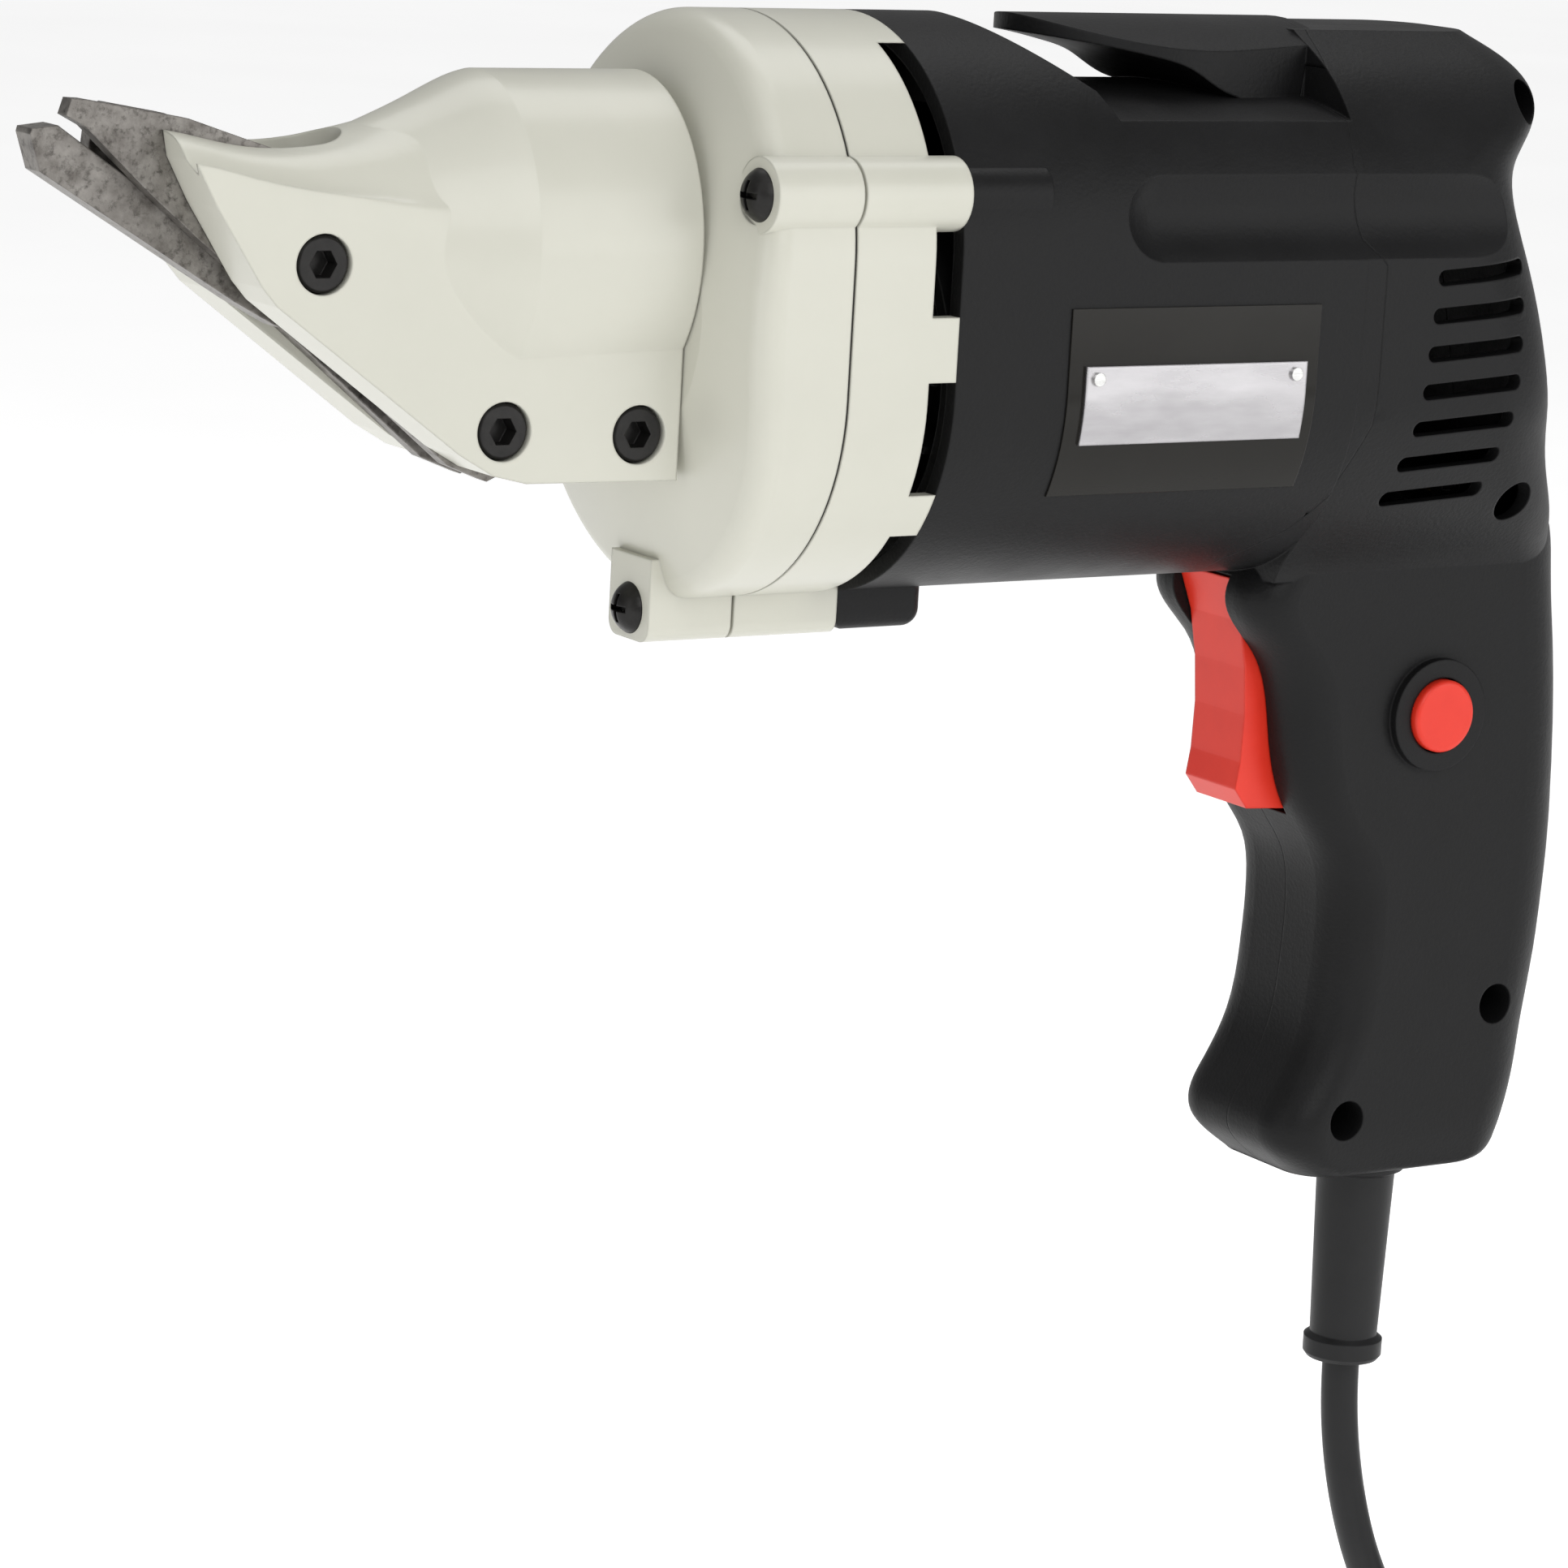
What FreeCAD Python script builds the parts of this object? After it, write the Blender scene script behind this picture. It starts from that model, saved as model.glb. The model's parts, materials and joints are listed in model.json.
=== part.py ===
import FreeCAD, Part
import math
import os
import Sketcher
from FreeCAD import Placement, Rotation, Vector

# Corded double-cut metal shear with a swivelling cutting head.
# Frame: nose towards -X, handle down towards -Z, +Z up, origin in the middle of the grip.

doc = FreeCAD.newDocument("metal_shear")
sheet = doc.addObject("Spreadsheet::Sheet", "Sizes")

SIZES = {
    "motor_axis_z": 100.0,
    "neck_axis_z": 118.0,
    "body_half_width": 35.5,
    "body_low_centre": 98.7,
    "body_high_centre": 119.3,
    "casting_wall": 4.0,
    "plastic_wall": 2.8,
    "seam_x": -142.0,
    "front_face_x": -160.5,
    "rim_x": -122.5,
    "casting_back_x": -127.5,
    "housing_back_x": -40.0,
    "neck_radius": 27.3,
    "neck_half_width": 21.4,
    "spigot_radius": 17.0,
    "shaft_radius": 5.0,
    "eccentric_throw": 1.5,
    "roller_radius": 5.0,
    "roller_length": 6.0,
    "gear_module": 0.8,
    "gear_teeth": 38.0,
    "pinion_teeth": 7.0,
    "gear_width": 8.0,
    "pivot_x": -222.0,
    "centre_blade_thickness": 5.0,
    "knife_thickness": 3.0,
    "knife_gap": 5.2,
    "stator_length": 38.0,
    "stator_radius": 32.4,
    "stator_bore": 20.2,
    "core_radius": 19.6,
    "core_length": 36.0,
    "commutator_radius": 11.0,
    "commutator_length": 12.0,
    "fan_radius": 29.0,
    "fan_width": 6.0,
    "ball_bearing_radius": 11.0,
    "ball_bearing_width": 7.0,
    "needle_radius": 8.0,
    "needle_length": 12.0,
    "grip_half_width": 17.0,
    "trigger_width": 14.0,
    "cord_swing": 16.0,
    "trigger_travel": 5.0,
    "button_radius": 6.2,
    "button_travel": 2.5,
    "cord_radius": 3.25,
    "coil_inner_radius": 22.9,
    "coil_outer_radius": 50.85,
    "coil_height": 13.0,
    "bench_z": -160.0,
}
for row, (alias, value) in enumerate(SIZES.items(), start=1):
    sheet.set("A" + str(row), alias)
    sheet.set("B" + str(row), str(value))
    sheet.setAlias("B" + str(row), alias)
doc.recompute()

NODES = []


def size(alias):
    """The value of a named cell."""
    return float(sheet.get(alias))


def keep(obj, label):
    """Name a finished sub-part and put it on the export list."""
    obj.Label = label
    NODES.append(obj)
    return obj


def feature(label, shape):
    """A sub-part whose shape comes from Part's own functions, at that shape's own place."""
    obj = doc.addObject("Part::Feature", label)
    obj.Shape = shape
    obj.Placement = shape.Placement
    return keep(obj, label)


def new_body(label, position=Vector(0, 0, 0)):
    body = doc.addObject("PartDesign::Body", label)
    body.Placement = Placement(position, Rotation())
    return keep(body, label)


def new_sketch(body, role, offset=0.0):
    """A sketch on one of the body's own origin planes, moved along the plane's normal."""
    plane = [item for item in body.Origin.OriginFeatures if item.Role == role][0]
    sketch = body.newObject("Sketcher::SketchObject", body.Name + "_sketch")
    sketch.AttachmentSupport = [(plane, "")]
    sketch.MapMode = "FlatFace"
    sketch.AttachmentOffset = Placement(Vector(0, 0, offset), Rotation())
    return sketch


def sketch_circle(sketch, radius, u=0.0, v=0.0):
    """A circle; a radius given as text is an expression on the sheet."""
    start = radius if isinstance(radius, float) else 1.0
    index = sketch.addGeometry(Part.Circle(Vector(u, v, 0), Vector(0, 0, 1), start), False)
    constraint = sketch.addConstraint(Sketcher.Constraint("Radius", index, start))
    if not isinstance(radius, float):
        sketch.setExpression("Constraints[" + str(constraint) + "]", radius)
    return index


def sketch_loop(sketch, points):
    """A closed loop of straight lines through (u, v) points."""
    corners = [Vector(u, v, 0) for u, v in points]
    for start, end in zip(corners, corners[1:] + corners[:1]):
        sketch.addGeometry(Part.LineSegment(start, end), False)


def pad(body, sketch, length, symmetric=False):
    item = body.newObject("PartDesign::Pad", body.Name + "_pad")
    item.Profile = sketch
    if isinstance(length, float):
        item.Length = length
    else:
        item.setExpression("Length", length)
    if symmetric:
        item.SideType = "Symmetric"
    return item


def pocket_all(body, sketch):
    """Cut the sketch through everything on both sides of its plane."""
    item = body.newObject("PartDesign::Pocket", body.Name + "_pocket")
    item.Profile = sketch
    item.Type = "ThroughAll"
    item.SideType = "Symmetric"
    return item


def ring(label, outer, bore, length, x, z, y=0.0):
    """A round washer-like piece along X, its radii and length bound to the sheet."""
    body = new_body(label, Vector(x, y, z))
    sketch = new_sketch(body, "YZ_Plane")
    sketch_circle(sketch, outer)
    if bore is not None:
        sketch_circle(sketch, bore)
    pad(body, sketch, length)
    return body


def turned(label, profile, x, z):
    """A body of revolution about X through (x, z); the profile is (x, radius) points."""
    body = new_body(label, Vector(x, 0, z))
    sketch = new_sketch(body, "XZ_Plane")
    sketch_loop(sketch, profile)
    item = body.newObject("PartDesign::Revolution", body.Name + "_revolution")
    item.Profile = sketch
    item.ReferenceAxis = (sketch, ["H_Axis"])
    item.Angle = 360.0
    return body


def side_plate(label, outline, thickness, y, holes=()):
    """A flat plate in the XZ plane, centred on y, with round holes (x, z, radius)."""
    body = new_body(label, Vector(0, y, 0))
    sketch = new_sketch(body, "XZ_Plane")
    sketch_loop(sketch, outline)
    pad(body, sketch, thickness, symmetric=True)
    for x, z, radius in holes:
        hole = new_sketch(body, "XZ_Plane")
        sketch_circle(hole, radius, x, z)
        pocket_all(body, hole)
    return body


# ---- plain shapes used by the castings and mouldings ----

def box(x0, x1, y0, y1, z0, z1):
    return Part.makeBox(x1 - x0, y1 - y0, z1 - z0, Vector(x0, y0, z0))


def rod_x(radius, x0, x1, z, y=0.0):
    return Part.makeCylinder(radius, x1 - x0, Vector(x0, y, z), Vector(1, 0, 0))


def rod_y(radius, y0, y1, x, z):
    return Part.makeCylinder(radius, y1 - y0, Vector(x, y0, z), Vector(0, 1, 0))


def tube_x(outer, bore, x0, x1, z, y=0.0):
    return rod_x(outer, x0, x1, z, y).cut(rod_x(bore, x0, x1, z, y))


def prism_y(points, half_width):
    """An outline of (x, z) points, thick from -half_width to +half_width."""
    corners = [Vector(x, -half_width, z) for x, z in points]
    face = Part.Face(Part.makePolygon(corners + corners[:1]))
    return face.extrude(Vector(0, 2 * half_width, 0))


def prism_z(points, z0, z1):
    """An outline of (x, y) points, from z0 up to z1."""
    corners = [Vector(x, y, z0) for x, y in points]
    face = Part.Face(Part.makePolygon(corners + corners[:1]))
    return face.extrude(Vector(0, 0, z1 - z0))


def fuse_all(shapes):
    return shapes[0].multiFuse(list(shapes[1:])).removeSplitter()


def cut_all(shape, tools):
    return shape.cut(list(tools))


def oval_wire(x, half_width, low, high):
    """A standing oval across X: half circles above and below flat sides."""
    top = Part.Arc(Vector(x, half_width, high), Vector(x, 0, high + half_width),
                   Vector(x, -half_width, high)).toShape()
    left = Part.makeLine(Vector(x, -half_width, high), Vector(x, -half_width, low))
    bottom = Part.Arc(Vector(x, -half_width, low), Vector(x, 0, low - half_width),
                      Vector(x, half_width, low)).toShape()
    right = Part.makeLine(Vector(x, half_width, low), Vector(x, half_width, high))
    return Part.Wire([top, left, bottom, right])


def oval(x0, x1, grow=0.0):
    """The oval barrel envelope from x0 to x1, grown or shrunk all round."""
    wire = oval_wire(x0, size("body_half_width") + grow, size("body_low_centre"),
                     size("body_high_centre"))
    return Part.Face(wire).extrude(Vector(x1 - x0, 0, 0))


def rounded_rectangle(z, front, back, half_width, front_radius, back_radius):
    """A level wire around the handle at height z."""
    def corner(cx, cy, radius, angle):
        points = [Vector(cx + radius * math.cos(angle + turn), cy + radius * math.sin(angle + turn), z)
                  for turn in (0, math.pi / 4, math.pi / 2)]
        return Part.Arc(*points).toShape()
    arcs = [corner(back - back_radius, half_width - back_radius, back_radius, 0),
            corner(front + front_radius, half_width - front_radius, front_radius, math.pi / 2),
            corner(front + front_radius, front_radius - half_width, front_radius, math.pi),
            corner(back - back_radius, back_radius - half_width, back_radius, 1.5 * math.pi)]
    edges = []
    for arc, following in zip(arcs, arcs[1:] + arcs[:1]):
        edges.append(arc)
        edges.append(Part.makeLine(arc.lastVertex().Point, following.firstVertex().Point))
    return Part.Wire(edges)


def loft(wires):
    return Part.makeLoft(wires, True, False)


def round_edges(shape, radius, wanted):
    """Fillet the edges that the test picks."""
    edges = [edge for edge in shape.Edges if wanted(edge)]
    return shape.makeFillet(radius, edges)


def lies_at_x(edge, x):
    box_of_edge = edge.BoundBox
    return abs(box_of_edge.XMin - x) < 0.01 and abs(box_of_edge.XMax - x) < 0.01


def socket_screw(head_radius, head_height, shank_radius, length, key_radius):
    """A cap screw along +X: head in front of the origin plane, shank behind it."""
    head = Part.makeCylinder(head_radius, head_height, Vector(-head_height, 0, 0), Vector(1, 0, 0))
    head = head.makeChamfer(0.4, [edge for edge in head.Edges if lies_at_x(edge, -head_height)])
    shank = Part.makeCylinder(shank_radius, length, Vector(0, 0, 0), Vector(1, 0, 0))
    corners = [Vector(-head_height, key_radius * math.cos(k * math.pi / 3),
                      key_radius * math.sin(k * math.pi / 3)) for k in range(7)]
    key = Part.Face(Part.makePolygon(corners)).extrude(Vector(0.6 * head_height, 0, 0))
    return head.fuse(shank).cut(key)


def pan_screw(head_radius, head_height, shank_radius, length):
    """A pan-head cross-recess screw along +X."""
    ball_radius = (head_radius ** 2 + head_height ** 2) / (2 * head_height)
    ball = Part.makeSphere(ball_radius, Vector(ball_radius - head_height, 0, 0))
    head = ball.common(Part.makeCylinder(head_radius, head_height, Vector(-head_height, 0, 0),
                                         Vector(1, 0, 0)))
    shank = Part.makeCylinder(shank_radius, length, Vector(0, 0, 0), Vector(1, 0, 0))
    arm = 0.55 * head_radius
    depth = 0.7 * head_height
    slots = [box(-head_height - 1, -head_height + depth, -arm, arm, -0.45, 0.45),
             box(-head_height - 1, -head_height + depth, -0.45, 0.45, -arm, arm)]
    return cut_all(head.fuse(shank), slots)


def placed(shape, position, turn=Rotation()):
    copy = shape.copy()
    copy.Placement = Placement(position, turn)
    return copy


def gear_outline(module, teeth, trim, phase):
    """Closed (y, z) outline of a spur gear with straight-flanked teeth, slimmed by trim."""
    pitch = module * teeth / 2
    tip = pitch + 0.9 * module
    root = pitch - 1.2 * module
    step = 2 * math.pi / teeth
    stations = ((root, -0.40), (pitch, -0.25), (tip, -0.12), (tip, 0.12), (pitch, 0.25), (root, 0.40))
    outline = []
    for tooth in range(int(teeth)):
        for radius, share in stations:
            slim = math.copysign(trim / radius, share)
            angle = phase + tooth * step + share * step - slim
            outline.append((radius * math.sin(angle), radius * math.cos(angle)))
    return outline


MOTOR_Z = size("motor_axis_z")
NECK_Z = size("neck_axis_z")
SEAM = size("seam_x")
FRONT = size("front_face_x")
RIM = size("rim_x")
BACK = size("casting_back_x")
WALL = size("casting_wall")
SIDE_SCREWS = ((-31.5, 129.5), (31.5, 129.5))
LOW_SCREW = (0.0, 61.5)


# ---- gear case: two painted castings, a gasket and an inner bearing plate ----

def screw_bosses(x0, x1, radius):
    side = [rod_x(radius, x0, x1, z, y) for y, z in SIDE_SCREWS]
    low = round_edges(box(x0, x1, -6.0, 6.0, 56.6, 70.0), 2.5,
                      lambda edge: edge.BoundBox.XLength > 1 and edge.BoundBox.ZMax < 57)
    return side + [low]


def screw_holes(x0, x1, radius):
    return [rod_x(radius, x0, x1, z, y) for y, z in SIDE_SCREWS + (LOW_SCREW,)]


dome = Part.makeSphere(123.0, Vector(-39.5, 0, 109.0))
front_block = oval(-170.0, SEAM - 0.25).common(dome)
front_block = round_edges(front_block, 4.5, lambda edge: edge.BoundBox.XMax < -150.0)
front_block = front_block.common(box(FRONT, SEAM, -50, 50, 50, 170))
front_case = fuse_all([front_block]
                      + screw_bosses(-157.4, SEAM - 0.25, 5.8)
                      + [rod_x(size("spigot_radius"), -183.0, -158.0, NECK_Z)])
front_hollow = oval(-154.0, SEAM, -WALL).cut(fuse_all(screw_bosses(-158.0, SEAM, 6.5)))
front_case = cut_all(front_case, [front_hollow,
                                  rod_x(size("needle_radius"), -183.0, -170.0, NECK_Z),
                                  rod_x(6.0, -184.0, -150.0, NECK_Z)]
                     + [rod_x(4.6, -165.0, -157.4, z, y) for y, z in SIDE_SCREWS]
                     + screw_holes(-165.0, SEAM, 2.2))
feature("gear_case_front", front_case)

gasket = cut_all(oval(SEAM - 0.25, SEAM + 0.25, -0.3),
                 [oval(SEAM - 1, SEAM + 1, -WALL)] + screw_holes(SEAM - 1, SEAM + 1, 2.2))
feature("gear_case_gasket", gasket)


def tab(z0, z1, x1):
    """Castellations on both sides of the rear casting's back edge."""
    strip = box(BACK - 0.5, x1, -40, 40, z0, z1)
    return oval(BACK - 0.5, x1).cut(oval(BACK - 1, x1 + 1, -2.6)).common(strip)


rear_ring = oval(SEAM + 0.25, BACK).cut(oval(SEAM, -134.0, -WALL))
rear_case = fuse_all([rear_ring] + screw_bosses(SEAM + 0.25, RIM, 5.8)
                     + [tab(101.0, 111.0, RIM), tab(76.0, 83.0, RIM), tab(151.0, 156.0, RIM)])
rear_case = cut_all(rear_case, [rod_x(size("ball_bearing_radius"), -134.0, -126.5, MOTOR_Z),
                                rod_x(6.0, SEAM, -120.0, MOTOR_Z),
                                oval(BACK, RIM + 1, -6.0),
                                oval(-130.5, BACK, -WALL).cut(tube_x(14.5, 1.0, -131, -127, MOTOR_Z))
                                .cut(rod_x(14.5, -131, -127, MOTOR_Z))]
                    + screw_holes(SEAM, RIM, 2.2))
feature("gear_case_rear", rear_case)

plate_face = oval(-141.5, -136.0, -WALL - 0.05)
bearing_plate = cut_all(plate_face, screw_bosses(-142.0, -134.0, 6.6)
                        + [rod_x(7.0, -142, -135, NECK_Z), rod_x(6.0, -142, -135, MOTOR_Z)])
feature("bearing_plate", bearing_plate)


# ---- motor housing with its belt hook, and the two handle shells behind it ----

def handle_solid(inset):
    """The handle's outside, or with an inset the hollow inside it."""
    levels = ((-41.4, -25.0, 14.5, 14.0, 7.0, 9.0), (-36.0, -31.2, 19.0, 16.5, 8.0, 10.0),
              (-31.0, -32.2, 20.6, 17.0, 8.5, 11.0), (-26.0, -29.6, 21.6, 17.0, 8.5, 11.0),
              (-18.0, -25.6, 23.0, 17.0, 8.5, 12.0), (-6.0, -23.6, 24.6, 17.0, 8.5, 12.0),
              (6.0, -23.3, 25.5, 17.0, 8.5, 12.0), (14.0, -25.0, 25.8, 17.0, 8.5, 12.0),
              (22.0, -30.5, 25.7, 17.0, 8.0, 12.0), (35.0, -35.2, 25.0, 17.0, 8.0, 12.0),
              (50.0, -40.0, 23.4, 17.0, 8.0, 12.0), (62.0, -46.0, 21.4, 17.4, 8.0, 12.0),
              (74.0, -50.0, 15.5, 18.5, 8.0, 12.0))
    wires = []
    for z, front, back, half_width, front_radius, back_radius in levels:
        level = z + (inset if z < -40 else 0.0)
        wires.append(rounded_rectangle(level, front + inset, back - inset, half_width - inset,
                                       front_radius - 0.6 * inset, back_radius - 0.6 * inset))
    return loft(wires)


def bulb_solid(inset):
    """The rounded rear end of the barrel that the handle hangs from."""
    levels = ((63.3, 20.8, 17.0, 12.0), (70.0, 17.0, 21.5, 13.0), (76.0, 13.6, 26.3, 15.0),
              (84.0, 9.6, 31.0, 18.0), (98.0, 6.4, 35.4, 21.0), (108.0, 4.2, 35.4, 22.0),
              (119.0, 1.0, 35.4, 24.0), (130.6, -2.4, 33.6, 22.0), (137.0, 0.2, 30.6, 18.0),
              (143.0, 3.2, 26.4, 15.0), (149.0, 1.0, 19.6, 12.0), (153.5, -5.0, 11.5, 8.0))
    wires = []
    for z, back, half_width, radius in levels:
        level = z + (inset if z < 64 else 0.0) - (inset if z > 153 else 0.0)
        wires.append(rounded_rectangle(level, -60.0, back - inset, half_width - inset, 1.0,
                                       radius - 0.6 * inset))
    return loft(wires)


BARREL_BACK = size("housing_back_x")
PLASTIC = size("plastic_wall")
handle_zone = prism_y(((-56.0, 68.0), (-48.4, 74.0), (-43.0, 82.0), (-40.0, 92.0), (-40.0, 118.0),
                       (-43.5, 122.0), (-46.0, 134.0), (-44.0, 148.0), (-40.0, 156.5), (-40.0, 170.0),
                       (80.0, 170.0), (80.0, -80.0), (-56.0, -80.0)), 60.0)
barrel_part = oval(RIM, -44.0)
rear_part = bulb_solid(0.0).cut(box(-70.0, -44.0, -50, 50, 50, 160))
whole = barrel_part.fuse(rear_part).fuse(handle_solid(0.0))

crown = rod_x(109.0, -108.0, -43.0, 35.2)
hook_gap = prism_y(((-106.5, 154.6), (-106.5, 160.0), (-44.0, 160.0), (-44.0, 130.0), (-84.0, 130.0),
                    (-92.0, 144.6)), 40.0).cut(crown)
tongue_edge = Part.BSplineCurve()
tongue_edge.interpolate([Vector(x, y, 140.0) for x, y in (
    (-39.0, -15.0), (-54.0, -16.6), (-66.0, -17.2), (-76.0, -15.6), (-84.6, -12.0), (-90.6, -6.5),
    (-92.6, 0.0), (-90.6, 6.5), (-84.6, 12.0), (-76.0, 15.6), (-66.0, 17.2), (-54.0, 16.6), (-39.0, 15.0))])
tongue_plan = Part.Face(Part.Wire([tongue_edge.toShape(), Part.makeLine(Vector(-39.0, 15.0, 140.0),
                                                                      Vector(-39.0, -15.0, 140.0))]))
tongue_plan = tongue_plan.extrude(Vector(0, 0, 20.0))
under_tongue = Part.BSplineCurve()
under_tongue.interpolate([Vector(x, -40.0, z) for x, z in (
    (-95.0, 152.4), (-89.0, 151.6), (-82.0, 150.6), (-74.0, 149.1), (-68.0, 147.4), (-64.0, 145.2),
    (-60.0, 143.4), (-52.0, 142.6), (-39.0, 142.4))])
tongue_side = Part.Face(Part.Wire([under_tongue.toShape()] + Part.makePolygon(
    [Vector(-39.0, -40.0, 142.4), Vector(-39.0, -40.0, 160.0), Vector(-95.0, -40.0, 160.0),
     Vector(-95.0, -40.0, 152.4)]).Edges))
tongue = oval(-95.0, -39.0).common(tongue_plan).common(tongue_side.extrude(Vector(0, 80.0, 0)))
flutes = []
for side in (-1, 1):
    flutes.append(rod_x(10.0, -84.0, 30.0, 127.0, side * 41.5))
    flutes.append(Part.makeSphere(10.0, Vector(-84.0, side * 41.5, 127.0)))
ribs = [rod_x(4.5, RIM, -106.0, z, 0.97 * y) for y, z in SIDE_SCREWS]
whole_outside = whole.cut([hook_gap] + flutes).fuse([tongue] + ribs)

HOLLOW = 33.0
barrel_hollow = fuse_all([rod_x(HOLLOW, RIM, -46.0, MOTOR_Z - 1.0),
                          oval(RIM, -106.0, -PLASTIC),
                          box(-107.0, -50.0, -20.0, 20.0, 125.0, 140.2)])
barrel_hollow = barrel_hollow.cut(fuse_all([rod_x(4.6, RIM, -100.0, z, y) for y, z in SIDE_SCREWS]))
bearing_wall_holes = [rod_x(12.0, -47.0, -38.0, MOTOR_Z)]
low_boss = round_edges(box(RIM, -105.5, -6.0, 6.0, 56.9, 68.0), 3.0,
                       lambda edge: edge.BoundBox.ZMax < 57.1 or lies_at_x(edge, -105.5))
motor_housing = whole_outside.cut(handle_zone).fuse(low_boss)
motor_housing = cut_all(motor_housing, [barrel_hollow, rod_x(9.6, -60.0, -38.0, MOTOR_Z)])
motor_housing = motor_housing.cut(screw_holes(RIM - 1, -108.0, 2.05))
wall_vents = [box(-47, -38, -28, 28, 76, 84), box(-47, -38, -28, 28, 116, 124)]
motor_housing = motor_housing.cut(wall_vents)
feature("motor_housing", motor_housing)

shell = whole_outside.common(handle_zone)
grip_hollow = handle_solid(PLASTIC).common(box(-50.0, 60.0, -40, 40, -50.0, 73.0))
bulb_hollow = bulb_solid(PLASTIC).common(box(-37.5, 60.0, -40, 40, 66.0, 150.8))
bulb_hollow = bulb_hollow.cut([rod_x(12.9, -95.0, 30.0, 127.0, side * 41.5) for side in (-1, 1)])
shell = shell.cut(grip_hollow).cut(bulb_hollow)
screw_posts = ((-4.3, 143.1), (-2.8, 77.1), (10.8, -12.6), (-19.9, -30.6))
posts = [rod_y(5.4, -15.0, 15.0, x, z) for x, z in screw_posts]
shell = shell.fuse([post.common(whole_outside) for post in posts])
trigger_slot = box(-62.0, -18.0, -7.3, 7.3, 21.6, 63.0)
button_ring = rod_y(9.6, -18.6, -14.0, -7.7, 39.4)
shell = shell.fuse(button_ring)
shell_cuts = [trigger_slot, rod_y(size("button_radius") + 0.25, -20.0, -10.0, -7.7, 39.4),
              Part.makeCylinder(6.8, 12.0, Vector(-3.3, 0, -46.0), Vector(0, 0, 1))]
for x, z in screw_posts:
    shell_cuts.append(rod_y(3.5, -40.0, -9.0, x, z))
    shell_cuts.append(rod_y(1.7, -10.0, 12.0, x, z))
for row in range(7):
    level = 116.4 - 6.2 * row
    tilt = Rotation(Vector(0, 1, 0), -4.0)
    for side in (-1, 1):
        slot = fuse_all([box(-9.0, 9.0, -12.0, 12.0, -1.3, 1.3),
                         rod_y(1.3, -12.0, 12.0, -9.0, 0.0), rod_y(1.3, -12.0, 12.0, 9.0, 0.0)])
        shell_cuts.append(placed(slot, Vector(-19.0 - 0.45 * row, side * 34.0, level), tilt))
shell = shell.cut(shell_cuts)
left_half = shell.common(box(-80.0, 60.0, -60.0, -0.02, -60.0, 170.0))
right_half = shell.common(box(-80.0, 60.0, 0.02, 60.0, -60.0, 170.0))


def largest(shape):
    """The biggest solid of a shape, without slivers left by the cuts."""
    return max(shape.Solids, key=lambda solid: solid.Volume)


feature("handle_left", largest(left_half))
feature("handle_right", largest(right_half))


# ---- swivelling cutting head ----

cheek_outline = ((-243.8, 137.2), (-243.0, 132.9), (-239.5, 126.4), (-231.8, 114.6), (-229.3, 111.8),
                 (-198.3, 89.2), (-192.5, 85.9), (-186.9, 84.6), (-160.8, 84.4))
NECK_START = -189.0
FLAT_FRONT = 15.6
FLAT_BACK = 17.7


def flat_at(x):
    """Half-thickness of the head between its two flat sides, which spread a little towards the neck."""
    return FLAT_FRONT + (FLAT_BACK - FLAT_FRONT) * (x + 243.8) / 83.0


def head_section(x, half_width, top, side_top):
    """Flat sides under an elliptical crown, closed along the bottom."""
    drop = top - side_top
    points = []
    for step in range(9):
        turn = math.pi * step / 8
        points.append(Vector(x, half_width * math.cos(turn), side_top + drop * math.sin(turn)))
    arch = Part.BSplineCurve()
    arch.interpolate(Points=points, InitialTangent=Vector(0, 0, 1), FinalTangent=Vector(0, 0, -1))
    feet = [Vector(x, -half_width, 78.0), Vector(x, half_width, 78.0)]
    return Part.Wire([arch.toShape(), Part.makeLine(points[-1], feet[0]),
                      Part.makeLine(feet[0], feet[1]), Part.makeLine(feet[1], points[0])])


def neck_section(x, half_width, above, below):
    """An upright oval round the neck axis."""
    points = []
    for step in range(16):
        turn = math.pi * step / 8
        rise = above if math.sin(turn) > 0 else below
        points.append(Vector(x, half_width * math.cos(turn), 119.7 + rise * math.sin(turn)))
    oval_curve = Part.BSplineCurve()
    oval_curve.interpolate(Points=points, PeriodicFlag=True)
    return Part.Wire(oval_curve.toShape())


wedge = loft([head_section(x, flat_at(x), top, side_top) for x, top, side_top in (
    (-245.0, 137.4, 128.0), (-236.0, 135.8, 126.5), (-227.6, 134.7, 124.5), (-215.6, 135.7, 122.5),
    (-205.0, 138.2, 120.5), (-196.0, 141.0, 118.5), (-184.0, 142.0, 117.6), (-172.0, 142.0, 117.0),
    (-160.8, 142.0, 116.5))])
cheeks = wedge.common(prism_y(cheek_outline + ((-160.8, 141.0), (-195.0, 141.0), (-195.0, 150.0),
                                                   (-250.0, 150.0)), 30.0))
horn = loft([neck_section(x, half_width, above, 25.0 * above / 25.6) for x, half_width, above in (
    (NECK_START, 22.2, 25.6), (-193.0, 20.6, 24.3), (-198.0, 18.4, 22.0), (-204.0, 16.0, 19.4),
    (-211.0, 13.5, 16.6), (-220.0, 10.5, 13.0))])
neck = Part.Face(neck_section(NECK_START, 22.2, 25.6, 25.0)).extrude(Vector(-160.8 - NECK_START, 0, 0))
head = fuse_all([cheeks, horn, neck])
blade_slot = prism_y(((-300.0, 160.0), (-218.0, 160.0), (-218.0, 132.4), (-184.0, 132.4),
                      (-184.0, 80.0), (-300.0, 80.0)), 5.75)
slot_end = Part.makeCylinder(5.75, 30.0, Vector(-218.0, 0, 128.0))
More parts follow.
